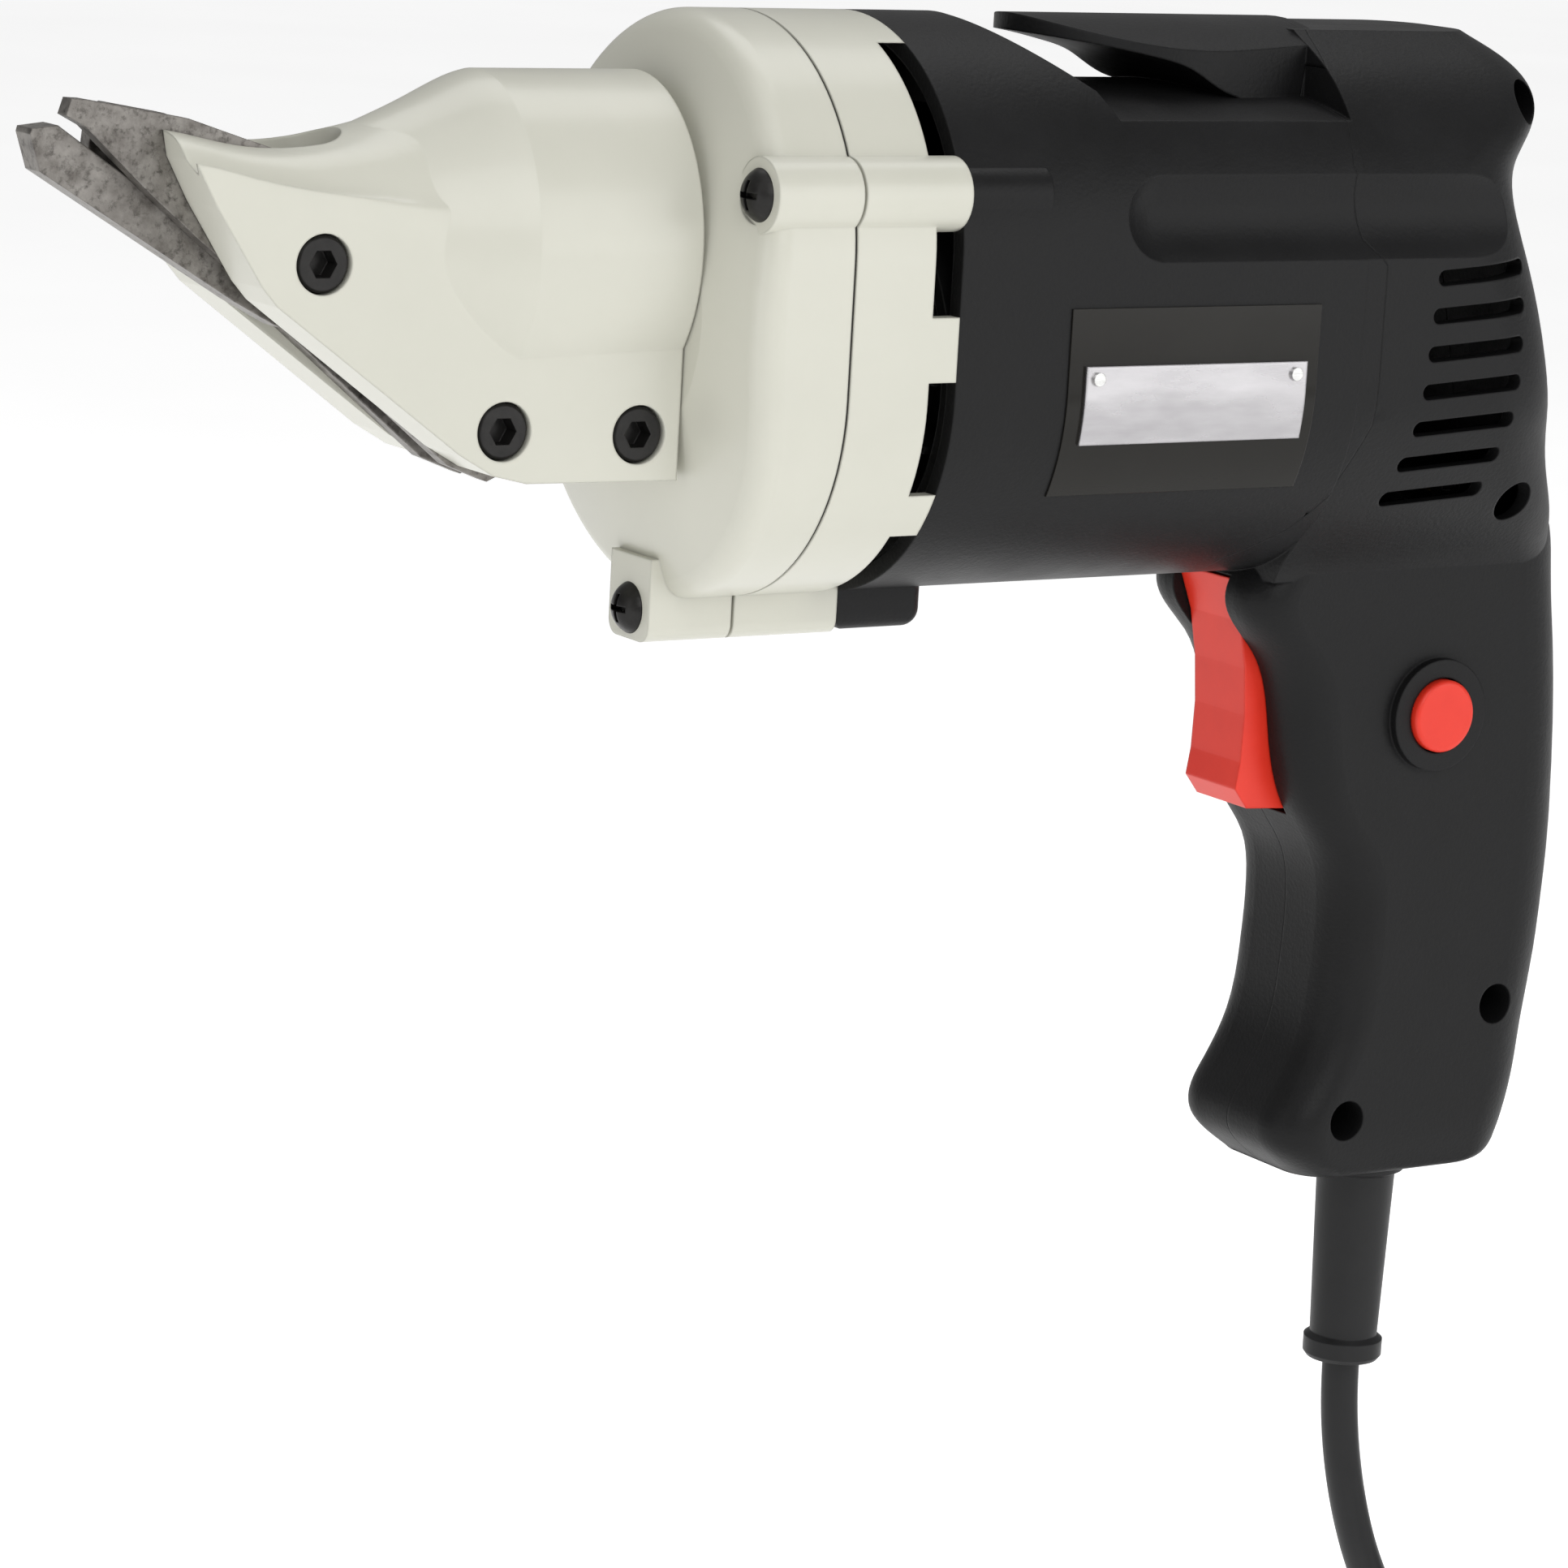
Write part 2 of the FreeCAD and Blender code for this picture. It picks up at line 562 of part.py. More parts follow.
head = cut_all(head, [blade_slot, slot_end, rod_x(9.0, -191.5, -183.0, NECK_Z),
                      rod_x(size("spigot_radius") + 0.08, -184.5, -160.0, NECK_Z),
                      box(-186.0, -160.0, -0.8, 0.8, 80.0, NECK_Z)])
BLADE_BOLT = (size("pivot_x"), NECK_Z)
LOWER_BOLT = (-191.0, 92.6)
CLAMP_BOLT = (-167.8, 91.6)
for x, z in (BLADE_BOLT, LOWER_BOLT, CLAMP_BOLT):
    face = flat_at(x)
    head = cut_all(head, [rod_y(4.55, -face - 3, -face + 5.3, x, z), rod_y(2.6, -30, 30, x, z)])
feature("head_housing", largest(head))


def bolt_along_y(x, z, face, length):
    turn = Rotation(Vector(0, 0, 1), 90.0)
    return placed(socket_screw(4.25, 5.0, 2.5, length, 2.3), Vector(x, -face + 5.2, z), turn)


for label, (x, z) in (("blade_bolt", BLADE_BOLT), ("knife_bolt", LOWER_BOLT), ("clamp_bolt", CLAMP_BOLT)):
    feature(label, bolt_along_y(x, z, flat_at(x) - 0.1, 2 * flat_at(x) - 5.4))

GAP = size("knife_gap")
KNIFE = size("knife_thickness")
knife_outline = ((-259.0, 138.6), (-258.2, 141.0), (-256.0, 140.9), (-239.5, 138.2), (-230.0, 135.2),
                 (-221.0, 132.5), (-213.0, 128.0), (-203.0, 115.0), (-190.5, 100.0), (-185.0, 90.0),
                 (-185.6, 83.9), (-187.2, 83.2), (-194.1, 85.9), (-224.0, 110.5), (-236.6, 120.1),
                 (-245.4, 127.4), (-255.9, 137.0))
far_outline = ((-251.4, 133.0), (-250.8, 138.9), (-248.6, 139.7)) + knife_outline[3:-1]
for label, side, outline in (("side_knife_left", -1, knife_outline), ("side_knife_right", 1, far_outline)):
    side_plate(label, outline, "Sizes.knife_thickness", side * (GAP + KNIFE) / 2,
               ((BLADE_BOLT[0], BLADE_BOLT[1], 2.6), (LOWER_BOLT[0], LOWER_BOLT[1], 2.6)))

bushing = rod_y(4.5, -GAP / 2, GAP / 2, *BLADE_BOLT).cut(rod_y(2.55, -5, 5, *BLADE_BOLT))
feature("blade_bushing", bushing)
spacer = rod_y(4.5, -GAP / 2, GAP / 2, *LOWER_BOLT).cut(rod_y(2.55, -5, 5, *LOWER_BOLT))
feature("knife_spacer", spacer)

blade_outline = ((-263.1, 135.6), (-262.9, 136.4), (-258.8, 136.9), (-244.5, 127.3), (-232.0, 129.0),
                 (-214.0, 128.6), (-202.0, 130.6), (-184.6, 130.4), (-184.6, 126.5), (-191.5, 126.5),
                 (-193.5, 122.0), (-193.5, 114.0), (-191.5, 109.5), (-184.6, 109.5), (-184.6, 105.6),
                 (-200.0, 105.4), (-212.0, 107.5), (-222.0, 107.0), (-229.4, 110.9), (-261.4, 130.2))
side_plate("centre_blade", blade_outline, "Sizes.centre_blade_thickness", 0.0,
           ((BLADE_BOLT[0], BLADE_BOLT[1], 4.54),))


# ---- drive: pinion on the motor shaft, driven gear, eccentric and roller ----

def pair_of_gears():
    module = size("gear_module")
    return (gear_outline(module, size("pinion_teeth"), 0.05, 0.0),
            gear_outline(module, size("gear_teeth"), 0.05, math.pi + math.pi / size("gear_teeth")))


pinion_outline, wheel_outline = pair_of_gears()


def gear_blank(outline, x0, x1, z):
    corners = [Vector(x0, y, z + height) for y, height in outline]
    face = Part.Face(Part.makePolygon(corners + corners[:1]))
    return face.extrude(Vector(x1 - x0, 0, 0))


armature_shaft = fuse_all([gear_blank(pinion_outline, -153.0, -143.5, MOTOR_Z),
                           rod_x(3.9, -143.5, -133.5, MOTOR_Z), rod_x(4.0, -133.5, -124.0, MOTOR_Z),
                           rod_x(4.9, -124.0, -46.5, MOTOR_Z), rod_x(3.5, -46.5, -40.6, MOTOR_Z)])
feature("armature_shaft", armature_shaft)

drive_gear = gear_blank(wheel_outline, -152.0, -144.0, NECK_Z)
drive_gear = drive_gear.fuse(rod_x(8.5, -144.0, -142.4, NECK_Z))
lightening = [rod_x(2.0, -153, -141, NECK_Z + 11.0 * math.cos(k * math.pi / 3),
                    11.0 * math.sin(k * math.pi / 3)) for k in range(6)]
drive_gear = cut_all(drive_gear, [rod_x(5.0, -153, -141, NECK_Z)] + lightening
                     + [box(-153, -141, -1.0, 1.0, NECK_Z, NECK_Z + 6.2)])
feature("drive_gear", drive_gear)

shaft = fuse_all([rod_x(size("shaft_radius"), -183.0, -136.6, NECK_Z),
                  rod_x(3.0, -190.0, -182.0, NECK_Z + size("eccentric_throw")),
                  rod_x(5.7, -154.4, -152.0, NECK_Z)])
shaft = cut_all(shaft, [box(-153.0, -143.0, -1.0, 1.0, NECK_Z + 3.8, NECK_Z + 6.2)])
feature("eccentric_shaft", shaft)
feature("gear_key", box(-152.0, -144.0, -1.0, 1.0, NECK_Z + 3.8, NECK_Z + 6.2))
ring("eccentric_roller", "Sizes.roller_radius", 3.0, "Sizes.roller_length", -190.0,
     NECK_Z + size("eccentric_throw"))
ring("needle_bearing", "Sizes.needle_radius", 5.05, "Sizes.needle_length", -182.5, NECK_Z)
ring("gear_shaft_bushing", 7.0, 5.05, 5.5, -141.5, NECK_Z)


# ---- motor ----

ring("front_bearing", "Sizes.ball_bearing_radius", 4.05, "Sizes.ball_bearing_width", -134.0, MOTOR_Z)
ring("rear_bearing", 7.6, 3.55, 5.0, -45.5, MOTOR_Z)
ring("bearing_sleeve", 9.6, 7.6, 5.0, -45.5, MOTOR_Z)

stator = new_body("stator_core", Vector(-108.0, 0, MOTOR_Z - 1.0))
outline = new_sketch(stator, "YZ_Plane")
sketch_circle(outline, "Sizes.stator_radius")
sketch_circle(outline, "Sizes.stator_bore + 1")
pad(stator, outline, "Sizes.stator_length")
for side in (-1, 1):
    window = new_sketch(stator, "YZ_Plane")
    sketch_loop(window, ((side * 12.0, -17.0), (side * 24.0, -17.0), (side * 27.5, 0.0),
                         (side * 24.0, 17.0), (side * 12.0, 17.0)))
    pocket_all(stator, window)


def coil_side(side):
    corners = ((12.5, -16.0), (23.4, -16.0), (26.6, 0.0), (23.4, 16.0), (12.5, 16.0))
    points = [Vector(-113.0, side * y, MOTOR_Z - 1.0 + z) for y, z in corners]
    face = Part.Face(Part.makePolygon(points + points[:1]))
    return face.extrude(Vector(48.0, 0, 0)).cut(rod_x(21.5, -120, -60, MOTOR_Z))


coil_ends = [tube_x(28.5, 21.5, x0, x1, MOTOR_Z - 0.5) for x0, x1 in ((-113.0, -108.2), (-69.8, -65.0))]
feature("field_coils", fuse_all([coil_side(-1), coil_side(1)] + coil_ends))
ring("armature_core", "Sizes.core_radius", 4.9, "Sizes.core_length", -107.0, MOTOR_Z)
for label, profile in (("winding_front", ((0.0, 5.0), (0.0, 15.5), (1.5, 17.5), (5.0, 18.0), (5.0, 5.0))),
                       ("winding_rear", ((0.0, 5.0), (0.0, 18.0), (4.0, 17.5), (7.5, 12.5), (7.5, 5.0)))):
    turned(label, profile, -112.0 if label == "winding_front" else -71.0, MOTOR_Z)
ring("commutator", "Sizes.commutator_radius", 4.9, "Sizes.commutator_length", -62.5, MOTOR_Z)

fan_parts = [tube_x(7.0, 4.9, -122.0, -114.5, MOTOR_Z), tube_x(29.0, 6.9, -116.0, -114.5, MOTOR_Z)]
for blade in range(16):
    vane = box(-121.5, -115.5, -0.6, 0.6, 11.0, 28.6)
    vane.translate(Vector(0, 0, MOTOR_Z))
    vane.rotate(Vector(-118, 0, MOTOR_Z), Vector(1, 0, 0), blade * 22.5)
    fan_parts.append(vane)
feature("cooling_fan", fuse_all(fan_parts))

brush_parts = {"brush_holders": [], "carbon_brushes": [], "brush_springs": []}
for side in (-1, 1):
    holder = box(-61.0, -52.0, -4.0, 4.0, 13.0, 27.0).cut(box(-59.2, -53.8, -2.2, 2.2, 12.0, 26.0))
    brush = box(-59.0, -54.0, -2.0, 2.0, 11.05, 21.0)
    spring = Part.makeCylinder(1.8, 4.9, Vector(-56.5, 0, 21.0), Vector(0, 0, 1))
    for name, piece in zip(brush_parts, (holder, brush, spring)):
        piece.rotate(Vector(0, 0, 0), Vector(1, 0, 0), side * 90.0)
        piece.translate(Vector(0, 0, MOTOR_Z))
        brush_parts[name].append(piece)
for name, pieces in brush_parts.items():
    feature(name, Part.makeCompound(pieces))
baffle = tube_x(32.4, 30.0, -121.5, -113.5, MOTOR_Z - 1.0).fuse(
    tube_x(32.4, 21.5, -114.0, -113.2, MOTOR_Z - 1.0))
feature("fan_baffle", baffle.removeSplitter())


# ---- trigger, switch, lock button and wiring inside the handle ----

trigger_outline = ((-45.6, 62.6), (-42.6, 55.0), (-41.0, 47.0), (-40.3, 39.0), (-40.5, 31.0),
                   (-41.2, 26.4), (-38.5, 23.0), (-24.5, 22.2), (-24.5, 62.6))
side_plate("trigger", trigger_outline, "Sizes.trigger_width", 0.0)

switch = round_edges(box(-17.5, 12.0, -7.5, 7.5, 24.0, 58.0), 1.0,
                     lambda edge: edge.BoundBox.YLength > 10)
switch = switch.cut(rod_y(3.2, -8.0, -4.0, -7.7, 39.4))
feature("switch_body", switch)
feature("trigger_spring", tube_x(2.6, 1.9, -24.5, -17.5, 52.0))
button = fuse_all([rod_y(size("button_radius"), -20.0, -12.3, -7.7, 39.4),
                   rod_y(2.6, -12.5, -7.6, -7.7, 39.4)])
button = round_edges(button, 0.8, lambda edge: edge.BoundBox.YMax < -19.9)
feature("lock_button", button)
feature("lock_spring", rod_y(3.1, -7.3, -4.0, -7.7, 39.4).cut(rod_y(2.3, -7.5, -3.9, -7.7, 39.4)))
feature("suppression_capacitor", box(-14.0, 2.0, -7.0, 7.0, 60.0, 70.0))

lead_route = (Vector(-3.3, 0, -18.0), Vector(-3.3, 0, 0.0), Vector(0.5, 0, 23.5))


def tube_along(points, radius, share=0.45):
    """A round tube along straight runs joined by tangent arcs; returns it, its path and radii."""
    edges = []
    radii = []
    last = points[0]
    for before, corner, after in zip(points, points[1:], points[2:]):
        towards = (corner - before).normalize()
        onwards = (after - corner).normalize()
        run = min((corner - before).Length, (after - corner).Length)
        reach = share * run
        half_turn = towards.getAngle(onwards) / 2
        radii.append(reach / math.tan(half_turn))
        start = corner - towards * reach
        end = corner + onwards * reach
        inward = (onwards - towards).normalize()
        centre = corner + inward * (radii[-1] / math.cos(half_turn))
        edges.append(Part.LineSegment(last, start).toShape())
        edges.append(Part.Arc(start, centre - inward * radii[-1], end).toShape())
        last = end
    edges.append(Part.LineSegment(last, points[-1]).toShape())
    path = Part.Wire(edges)
    section = Part.Wire(Part.Circle(points[0], points[1] - points[0], radius).toShape())
    return path.makePipeShell([section], True, True), path, radii


leads = [tube_along([point + Vector(0, side * 2.2, 0) for point in lead_route], 1.2)[0]
         for side in (-1, 1)]
feature("supply_leads", Part.makeCompound(leads))

clamp_bar = box(-12.0, 5.4, -7.0, 7.0, -24.0, -18.0).cut(
    Part.makeCylinder(3.3, 10.0, Vector(-3.3, 0, -26.0), Vector(0, 0, 1)))
feature("cord_clamp", clamp_bar.cut([rod_y(1.2, -8, 8, -9.5, -21.0), rod_y(1.2, -8, 8, 3.0, -21.0)]))
clamp_screw = pan_screw(2.4, 1.4, 1.2, 12.0)
feature("cord_clamp_screws", Part.makeCompound(
    [placed(clamp_screw, Vector(x, -7.0, -21.0), Rotation(Vector(0, 0, 1), 90.0)) for x in (-9.5, 3.0)]))


# ---- fasteners, label and nameplate ----

case_screw = pan_screw(4.1, 2.6, 2.0, 40.0)
short_screw = pan_screw(4.1, 2.6, 2.0, 36.0)
feature("case_screws", Part.makeCompound(
    [placed(case_screw, Vector(-157.4, y, z)) for y, z in SIDE_SCREWS]
    + [placed(short_screw, Vector(-157.4, LOW_SCREW[0], LOW_SCREW[1]))]))
handle_screw = pan_screw(3.2, 2.2, 1.6, 20.0)
feature("handle_screws", Part.makeCompound(
    [placed(handle_screw, Vector(x, -9.0, z), Rotation(Vector(0, 0, 1), 90.0))
     for x, z in screw_posts]))


def wrapped(x0, x1, z0, z1, inner, outer):
    """A thin sheet that follows the barrel's left side."""
    return oval(x0, x1, outer).cut(oval(x0 - 1, x1 + 1, inner)).common(box(x0, x1, -40, 0, z0, z1))


feature("label_panel", wrapped(-101.5, -53.0, 82.0, 112.0, 0.0, 0.3))
feature("nameplate", wrapped(-98.5, -55.5, 90.5, 103.0, 0.3, 0.9))
rivets = [rod_y(1.1, -36.9, -36.4, x, 101.0) for x in (-96.3, -57.7)]
feature("nameplate_rivets", Part.makeCompound(rivets))


# ---- cord: strain relief, hanging tube, coil on the bench, tail and plug ----

CORD_R = size("cord_radius")
EXIT = Vector(-3.3, 0, -79.0)
BENCH = size("bench_z")
LIE = BENCH + CORD_R
relief_profile = ((0.0, -30.0), (8.3, -30.0), (8.3, -38.2), (6.7, -38.2), (6.7, -41.4), (8.2, -42.2),
                  (8.2, -44.2), (6.8, -45.0), (5.9, -74.6), (6.9, -75.4), (6.9, -78.2), (6.3, -79.0),
                  (0.0, -79.0))
relief_face = Part.Face(Part.makePolygon([Vector(r, 0, z) for r, z in relief_profile]
                                         + [Vector(0, 0, -30.0)]))
relief = relief_face.revolve(Vector(0, 0, 0), Vector(0, 0, 1), 360.0)
relief.translate(Vector(-3.3, 0, 0))
feature("strain_relief", relief)

# The cord, its coil and the plug swing together about the upright line through the exit.
CORD_SWING = Rotation(Vector(0, 0, 1), size("cord_swing"))


def swung(x, y, z):
    return EXIT + CORD_SWING.multVec(Vector(x, y, z) - EXIT)


cord_route = [EXIT, swung(-3.3, 0, -88.0), swung(0.9, 0, -104.7), swung(8.2, 0, -120.3),
              swung(18.6, 0, -134.0), swung(31.8, 0, -145.1), swung(47.3, 0, -152.6),
              swung(64.1, 0, -156.1), swung(81.3, 0, LIE), swung(97.0, -1.5, LIE),
              swung(114.0, -7.0, LIE)]
COIL_CENTRE = swung(112.0, -47.6, BENCH)
coil = Part.makeCylinder(size("coil_outer_radius"), size("coil_height"), COIL_CENTRE)
coil_hole = Part.makeCylinder(size("coil_inner_radius"), 40.0, COIL_CENTRE - Vector(0, 0, 10))
coil = coil.cut(coil_hole)
cord_tube, cord_path, cord_radii = tube_along(cord_route, CORD_R)
cord_volume = math.pi * CORD_R ** 2 * cord_path.Length
print("cord radii", [round(value, 1) for value in cord_radii])
print("cord volume ratio", round(cord_tube.Volume / cord_volume, 4), "length", round(cord_path.Length, 1))
coil_outside = Part.makeCylinder(size("coil_outer_radius"), 40.0, COIL_CENTRE - Vector(0, 0, 10))
feature("power_cord", largest(cord_tube.cut(coil_outside)))
feature("cord_coil", coil)

tail_route = [swung(118.0, -88.0, LIE), swung(100.0, -93.5, LIE), swung(82.0, -92.0, LIE),
              swung(65.0, -86.5, LIE), swung(50.0, -77.0, LIE)]
tail_tube, tail_path, tail_radii = tube_along(tail_route, CORD_R)
print("tail radii", [round(value, 1) for value in tail_radii], "length", round(tail_path.Length, 1))
print("tail volume ratio", round(tail_tube.Volume / (math.pi * CORD_R ** 2 * tail_path.Length), 4))
feature("cord_tail", largest(tail_tube.cut(coil_outside)))

PLUG_AXIS = (tail_route[-1] - tail_route[-2]).normalize()
plug_profile = ((0.0, 0.0), (0.0, 5.0), (16.0, 6.6), (20.0, 11.0), (38.0, 12.5), (41.0, 11.5), (41.0, 0.0))
plug_face = Part.Face(Part.makePolygon([Vector(x, r, 0) for x, r in plug_profile + plug_profile[:1]]))
plug_body = plug_face.revolve(Vector(0, 0, 0), Vector(1, 0, 0), 360.0)
plug_body = plug_body.common(box(-1.0, 60.0, -20.0, 20.0, -CORD_R, 11.0))
prongs = [round_edges(box(41.0, 58.0, side * 6.35 - 0.75, side * 6.35 + 0.75, -0.4, 6.0), 0.6,
                      lambda edge: lies_at_x(edge, 58.0)) for side in (-1, 1)]
PLUG_TURN = Rotation(Vector(1, 0, 0), PLUG_AXIS)
feature("plug_body", placed(plug_body, tail_route[-1], PLUG_TURN))
feature("plug_blades", Part.makeCompound([placed(prong, tail_route[-1], PLUG_TURN) for prong in prongs]))


# ---- check and export ----

doc.recompute()
faults = []
for obj in doc.Objects:
    if "Invalid" in obj.State or "Error" in obj.State:
        faults.append(obj.Label + " " + str(obj.State))
for obj in NODES:
    if obj.Shape.isNull() or not obj.Shape.isValid() or not obj.Shape.Solids:
        faults.append(obj.Label + " has a bad shape")
if faults:
    raise RuntimeError("; ".join(faults))
os.makedirs("parts", exist_ok=True)
for obj in NODES:
    obj.Shape.exportStep("parts/" + obj.Label + ".step")
print(len(NODES), "nodes")
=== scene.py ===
"""Electric double-cut shear on a plain floor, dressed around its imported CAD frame. Metres, nose to -X."""

import json
import math

import bpy
from mathutils import Matrix, Vector

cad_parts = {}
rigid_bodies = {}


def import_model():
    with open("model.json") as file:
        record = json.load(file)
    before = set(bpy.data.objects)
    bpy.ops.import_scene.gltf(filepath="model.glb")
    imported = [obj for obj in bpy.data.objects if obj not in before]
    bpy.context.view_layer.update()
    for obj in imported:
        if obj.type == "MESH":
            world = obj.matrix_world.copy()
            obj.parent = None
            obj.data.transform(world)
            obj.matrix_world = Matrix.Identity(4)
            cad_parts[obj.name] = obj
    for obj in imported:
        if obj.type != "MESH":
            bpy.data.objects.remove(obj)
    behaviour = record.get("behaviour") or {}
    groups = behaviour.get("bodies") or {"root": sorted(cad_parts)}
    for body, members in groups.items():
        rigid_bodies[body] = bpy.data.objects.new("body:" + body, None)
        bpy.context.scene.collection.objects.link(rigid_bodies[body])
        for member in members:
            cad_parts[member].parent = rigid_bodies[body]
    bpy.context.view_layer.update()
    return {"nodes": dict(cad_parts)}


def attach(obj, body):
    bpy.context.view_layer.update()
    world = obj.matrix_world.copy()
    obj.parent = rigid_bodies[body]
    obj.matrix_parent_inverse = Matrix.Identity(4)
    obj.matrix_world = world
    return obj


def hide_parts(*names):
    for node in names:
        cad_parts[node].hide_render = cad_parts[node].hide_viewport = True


for leftover in list(bpy.data.objects):
    bpy.data.objects.remove(leftover)

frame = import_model()
scene = bpy.context.scene


# ---- camera ----

TURN = math.radians(33.0)
DOWN = math.radians(11.5)
ROLL = math.radians(3.2)
towards_camera = Vector((-math.sin(TURN) * math.cos(DOWN), -math.cos(TURN) * math.cos(DOWN),
                         math.sin(DOWN)))
level = Vector((math.cos(TURN), -math.sin(TURN), 0.0))
upright = level.cross(-towards_camera)
right = level * math.cos(ROLL) + upright * math.sin(ROLL)
up = upright * math.cos(ROLL) - level * math.sin(ROLL)

camera_data = bpy.data.cameras.new("camera")
camera = bpy.data.objects.new("camera", camera_data)
scene.collection.objects.link(camera)
turned = Matrix((right, up, towards_camera)).transposed().to_4x4()
camera.matrix_world = Matrix.Translation((-0.6079, -0.7410, 0.2111)) @ turned
camera_data.sensor_width = 36.0
camera_data.lens = 129.13
camera_data.clip_end = 60.0
scene.camera = camera


# ---- cord ----

CORD_R = 0.00325
BENCH = -0.160
EXIT = Vector((-0.0033, 0.0, -0.079))
COIL_CENTRE = Vector((0.112, -0.0476, 0.0))
COIL_OUTER = 0.0476
COIL_PITCH = 0.0066
TURNS_PER_LAYER = 3.25
CORD_SWING = math.radians(16.0)
POINTS_PER_TURN = 16


def linked(name, data):
    made = bpy.data.objects.new(name, data)
    scene.collection.objects.link(made)
    return made


def coil_points():
    """Two flat layers of turns: inwards on the bench, then outwards on top of it."""
    steps = round(TURNS_PER_LAYER * POINTS_PER_TURN)
    widen = 1.0 / (0.75 + 0.25 * math.cos(2 * math.pi / POINTS_PER_TURN))
    low = BENCH + CORD_R
    points = []
    for step in range(2 * steps + 1):
        turns = step / POINTS_PER_TURN
        inward = turns if step <= steps else 2 * TURNS_PER_LAYER - turns
        radius = widen * (COIL_OUTER - COIL_PITCH * inward)
        angle = math.pi / 2 - 2 * math.pi * turns
        climb = min(1.0, max(0.0, (step - steps + 5) / 6))
        drop = min(1.0, max(0.0, (step - 2 * steps + 1) / 4))
        height = low + 2 * CORD_R * (climb - drop)
        points.append(Vector((COIL_CENTRE.x + radius * math.cos(angle),
                              COIL_CENTRE.y + radius * math.sin(angle), height)))
    return points


lie = BENCH + CORD_R
hanging = [EXIT, Vector((-0.0033, 0.0, -0.088)), Vector((0.0009, 0.0, -0.1047)),
           Vector((0.0082, 0.0, -0.1203)), Vector((0.0186, 0.0, -0.1340)), Vector((0.0318, 0.0, -0.1451)),
           Vector((0.0473, 0.0, -0.1526)), Vector((0.0641, 0.0, -0.1561)), Vector((0.0813, 0.0, lie)),
           Vector((0.0970, -0.0002, lie))]
tail = [Vector((0.0970, -0.0950, lie + 0.0020)), Vector((0.0820, -0.0920, lie)), Vector((0.0650, -0.0865, lie)),
        Vector((0.0500, -0.0770, lie))]
swing = Matrix.Rotation(CORD_SWING, 3, "Z")
cord_points = [EXIT + swing @ (point - EXIT) for point in hanging + coil_points() + tail]
cord_curve = bpy.data.curves.new("cord", "CURVE")
cord_curve.dimensions = "3D"
spline = cord_curve.splines.new("NURBS")
spline.points.add(len(cord_points) - 1)
for point, place in zip(spline.points, cord_points):
    point.co = (*place, 1.0)
    point.radius = CORD_R  # the tube's radius: bevel_depth, which is 1, times this
spline.order_u = 3
spline.use_endpoint_u = True
spline.resolution_u = 8
cord_curve.bevel_depth = 1.0
cord_curve.bevel_resolution = 7
cord_curve.use_fill_caps = True
cord = linked("cord", cord_curve)
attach(cord, "tool_body")
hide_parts("power_cord", "cord_coil", "cord_tail")


# ---- materials ----

def shader(name):
    """A new material, with its node tree, its surface shader and its texture coordinates."""
    material = bpy.data.materials.new(name)
    material.use_nodes = True
    tree = material.node_tree
    surface = tree.nodes["Principled BSDF"]
    coordinates = tree.nodes.new("ShaderNodeTexCoord")
    return material, tree, surface, coordinates


def noise(tree, coordinates, scale, detail=4.0, roughness=0.55, stretch=(1.0, 1.0, 1.0)):
    mapping = tree.nodes.new("ShaderNodeMapping")
    mapping.inputs["Scale"].default_value = stretch
    tree.links.new(coordinates.outputs["Object"], mapping.inputs["Vector"])
    texture = tree.nodes.new("ShaderNodeTexNoise")
    texture.inputs["Scale"].default_value = scale
    texture.inputs["Detail"].default_value = detail
    texture.inputs["Roughness"].default_value = roughness
    tree.links.new(mapping.outputs["Vector"], texture.inputs["Vector"])
    return texture.outputs["Fac"]


def ranged(tree, value, low, high, start=0.3, end=0.7):
    node = tree.nodes.new("ShaderNodeMapRange")
    node.inputs["From Min"].default_value = start
    node.inputs["From Max"].default_value = end
    node.inputs["To Min"].default_value = low
    node.inputs["To Max"].default_value = high
    tree.links.new(value, node.inputs["Value"])
    return node.outputs["Result"]


def mixed(tree, share, first, second):
    node = tree.nodes.new("ShaderNodeMix")
    node.data_type = "RGBA"
    for socket, value in ((node.inputs[6], first), (node.inputs[7], second)):
        if isinstance(value, tuple):
            socket.default_value = (*value, 1.0)
        else:
            tree.links.new(value, socket)
    tree.links.new(share, node.inputs[0])
    return node.outputs[2]


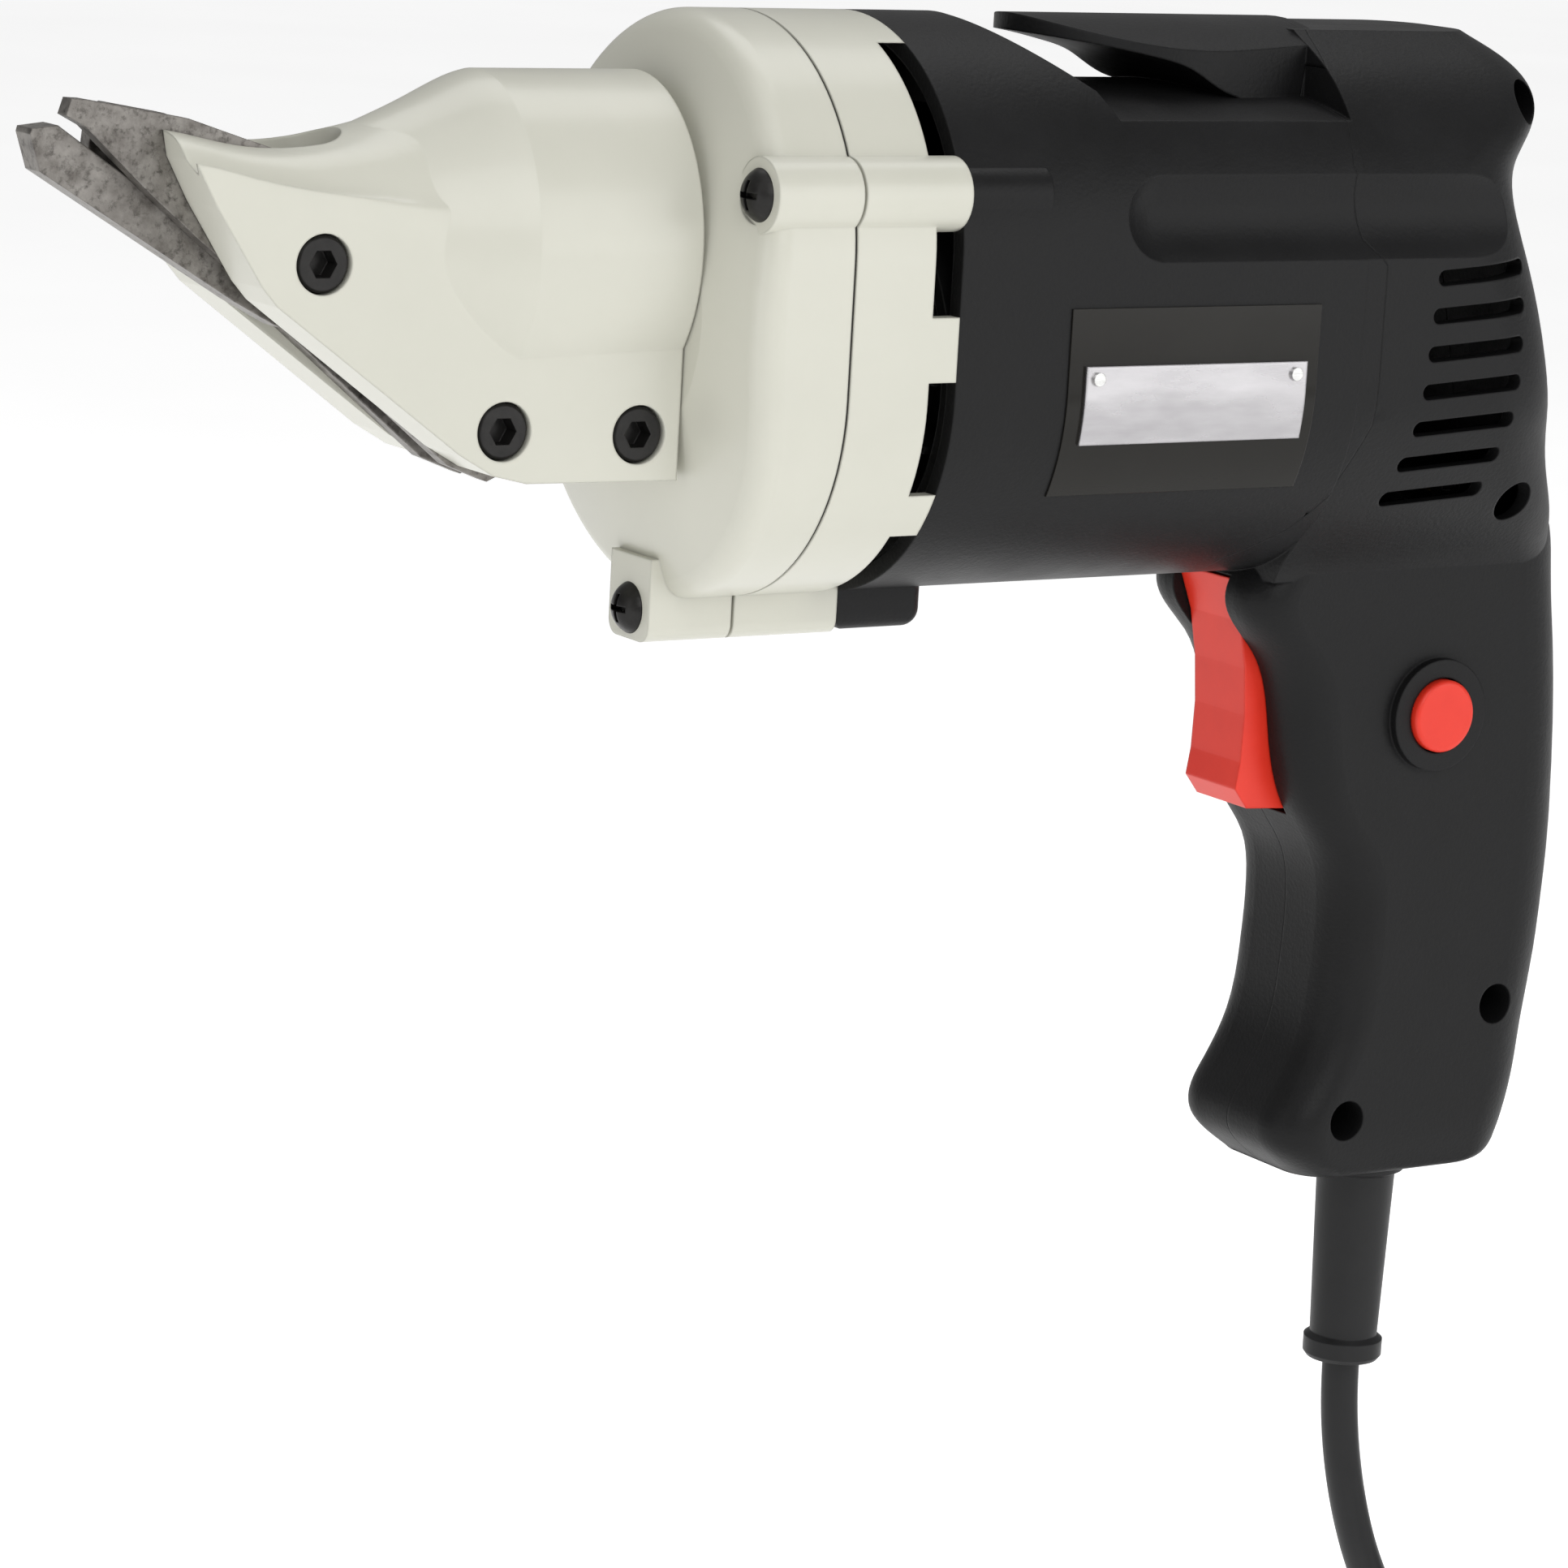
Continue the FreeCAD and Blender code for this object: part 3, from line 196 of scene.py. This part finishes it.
def finish_of(name, dark, light, rough, grain=(900.0, 0.15, 0.0002), cloud=45.0, metallic=0.0,
              stretch=(1.0, 1.0, 1.0), edge=0.0004, coat=0.0, specular=0.5, mottle=None):
    """A finish with mottled colour, uneven gloss, a grain in relief and softly rounded edges."""
    material, tree, surface, coordinates = shader(name)
    cloudy = noise(tree, coordinates, cloud, 5.0, 0.6, stretch)
    fine = noise(tree, coordinates, grain[0], 3.0, 0.5, stretch)
    colour = mixed(tree, ranged(tree, cloudy, 0.0, 1.0), dark, light)
    if mottle:
        spots = noise(tree, coordinates, mottle[0], 6.0, 0.7)
        colour = mixed(tree, ranged(tree, spots, 0.0, 1.0, mottle[1], mottle[2]), colour, mottle[3])
    tree.links.new(colour, surface.inputs["Base Color"])
    tree.links.new(ranged(tree, cloudy, rough[0], rough[1]), surface.inputs["Roughness"])
    bevel = tree.nodes.new("ShaderNodeBevel")
    bevel.samples = 6
    bevel.inputs["Radius"].default_value = edge
    bump = tree.nodes.new("ShaderNodeBump")
    bump.inputs["Strength"].default_value = grain[1]
    bump.inputs["Distance"].default_value = grain[2]
    tree.links.new(fine, bump.inputs["Height"])
    tree.links.new(bevel.outputs["Normal"], bump.inputs["Normal"])
    tree.links.new(bump.outputs["Normal"], surface.inputs["Normal"])
    surface.inputs["Metallic"].default_value = metallic
    surface.inputs["Specular IOR Level"].default_value = specular
    if coat:
        surface.inputs["Coat Weight"].default_value = coat
        surface.inputs["Coat Roughness"].default_value = 0.12
    return material


paint = finish_of("painted_casting", (0.525, 0.522, 0.452), (0.55, 0.546, 0.475), (0.32, 0.37),
                  (420.0, 0.10, 0.0002), 30.0, edge=0.0006, coat=0.15)
plastic = finish_of("textured_plastic", (0.0062, 0.0062, 0.0064), (0.0088, 0.0088, 0.0092), (0.40, 0.50),
                    (1500.0, 0.32, 0.0002), 60.0, edge=0.0005, specular=0.17)
red = finish_of("red_plastic", (0.66, 0.026, 0.012), (0.74, 0.036, 0.017), (0.28, 0.38),
                (700.0, 0.10, 0.0001), 70.0, edge=0.0006, specular=0.35)
blade = finish_of("ground_blade_steel", (0.12, 0.11, 0.10), (0.30, 0.285, 0.265), (0.30, 0.55),
                  (1300.0, 0.30, 0.0002), 260.0, 0.85, edge=0.0003,
                  mottle=(700.0, 0.50, 0.72, (0.05, 0.045, 0.04)))
black_oxide = finish_of("black_oxide", (0.010, 0.0095, 0.009), (0.022, 0.021, 0.020), (0.26, 0.42),
                        (1600.0, 0.2, 0.0001), 300.0, 0.6, edge=0.0003)
bright = finish_of("machined_steel", (0.48, 0.48, 0.47), (0.62, 0.62, 0.61), (0.18, 0.34),
                   (1200.0, 0.15, 0.0001), 160.0, 1.0, (1.0, 8.0, 8.0), 0.0002)
core = finish_of("core_laminations", (0.10, 0.105, 0.12), (0.22, 0.225, 0.24), (0.35, 0.5),
                 (2600.0, 0.5, 0.0002), 900.0, 0.8, (14.0, 0.05, 0.05), 0.0002)
copper = finish_of("enamelled_copper", (0.50, 0.14, 0.035), (0.66, 0.24, 0.07), (0.22, 0.36),
                   (900.0, 0.6, 0.0004), 500.0, 0.9, (0.2, 6.0, 6.0), 0.0003, 0.3)
brass = finish_of("brass", (0.55, 0.36, 0.11), (0.66, 0.46, 0.17), (0.22, 0.38),
                  (1100.0, 0.15, 0.0001), 200.0, 1.0, edge=0.0002)
rubber = finish_of("cord_rubber", (0.0075, 0.0075, 0.008), (0.0125, 0.0125, 0.013), (0.40, 0.52),
                   (1100.0, 0.18, 0.0001), 120.0, edge=0.0003, specular=0.26)
gasket = finish_of("gasket_paper", (0.012, 0.011, 0.010), (0.03, 0.028, 0.024), (0.7, 0.85),
                   (2000.0, 0.4, 0.0001), 400.0, edge=0.0001)
carbon = finish_of("carbon_brush", (0.010, 0.010, 0.011), (0.03, 0.03, 0.032), (0.45, 0.65),
                   (1800.0, 0.4, 0.0001), 500.0, edge=0.0002)
label = finish_of("gloss_label", (0.0085, 0.0078, 0.0062), (0.012, 0.011, 0.009), (0.12, 0.18),
                  (300.0, 0.04, 0.0001), 20.0, edge=0.0002, specular=0.2)
plate = finish_of("silver_plate", (0.36, 0.35, 0.36), (0.50, 0.49, 0.50), (0.24, 0.32),
                  (1500.0, 0.08, 0.0001), 40.0, 0.9, (1.0, 1.0, 4.0), 0.0005)
switch = finish_of("switch_plastic", (0.014, 0.016, 0.022), (0.022, 0.025, 0.034), (0.30, 0.42),
                   (1200.0, 0.2, 0.0001), 90.0, edge=0.0003)
capacitor = finish_of("capacitor_shell", (0.58, 0.40, 0.07), (0.70, 0.50, 0.11), (0.26, 0.36),
                      (900.0, 0.15, 0.0001), 90.0, edge=0.0003)

FINISHES = {"case_paint": paint, "black_plastic": plastic, "red_plastic": red, "blade_steel": blade,
            "black_oxide": black_oxide, "bright_steel": bright, "core_steel": core, "copper": copper,
            "brass": brass, "rubber": rubber, "gasket_paper": gasket, "carbon": carbon,
            "label_gloss": label, "plate_silver": plate, "switch_plastic": switch,
            "capacitor_shell": capacitor}
for node in frame["nodes"].values():
    for place in node.material_slots:
        place.material = FINISHES[place.material.name]
cord_curve.materials.append(rubber)


# ---- floor and light ----

floor_mesh = bpy.data.meshes.new("floor")
FLOOR = 14.0
floor_mesh.from_pydata([(-FLOOR, -FLOOR, BENCH), (FLOOR, -FLOOR, BENCH), (FLOOR, FLOOR, BENCH),
                        (-FLOOR, FLOOR, BENCH)], [], [(0, 1, 2, 3)])
floor = linked("floor", floor_mesh)
floor_finish, tree, surface, coordinates = shader("pale_floor")
cloudy = ranged(tree, noise(tree, coordinates, 3.0), 0.0, 1.0)
pale = mixed(tree, cloudy, (0.86, 0.86, 0.86), (0.88, 0.88, 0.88))
tree.links.new(pale, surface.inputs["Base Color"])
tree.links.new(pale, surface.inputs["Emission Color"])
surface.inputs["Emission Strength"].default_value = 0.62
surface.inputs["Roughness"].default_value = 0.75
surface.inputs["Specular IOR Level"].default_value = 0.2
floor_mesh.materials.append(floor_finish)

world = bpy.data.worlds.new("studio")
scene.world = world
world.use_nodes = True
world.node_tree.nodes["Background"].inputs["Color"].default_value = (1.0, 1.0, 1.0, 1.0)
world.node_tree.nodes["Background"].inputs["Strength"].default_value = 0.30


def soft_light(name, place, target, width, height, power):
    """A rectangular area light at place, turned to target."""
    data = bpy.data.lights.new(name, "AREA")
    data.shape = "RECTANGLE"
    data.size = width
    data.size_y = height
    data.energy = power
    light = linked(name, data)
    light.location = place
    light.rotation_mode = "QUATERNION"
    light.rotation_quaternion = (Vector(target) - Vector(place)).to_track_quat("-Z", "Y")


MIDDLE = (-0.12, 0.0, 0.06)
soft_light("key", (-0.50, -1.35, 0.80), MIDDLE, 1.0, 1.0, 8.5)
soft_light("front_strip", (-1.30, -0.30, 0.45), MIDDLE, 0.35, 1.2, 1.5)
soft_light("fill", (0.65, -1.05, 0.35), MIDDLE, 0.8, 0.8, 4.0)
soft_light("top", (0.15, 0.35, 1.3), MIDDLE, 1.2, 0.8, 6.0)
sun_data = bpy.data.lights.new("overhead", "SUN")
sun_data.energy = 0.5
sun_data.angle = math.radians(50.0)
sun = linked("overhead", sun_data)
sun.rotation_euler = (math.radians(20.0), math.radians(-15.0), 0.0)
scene.view_settings.view_transform = "Standard"
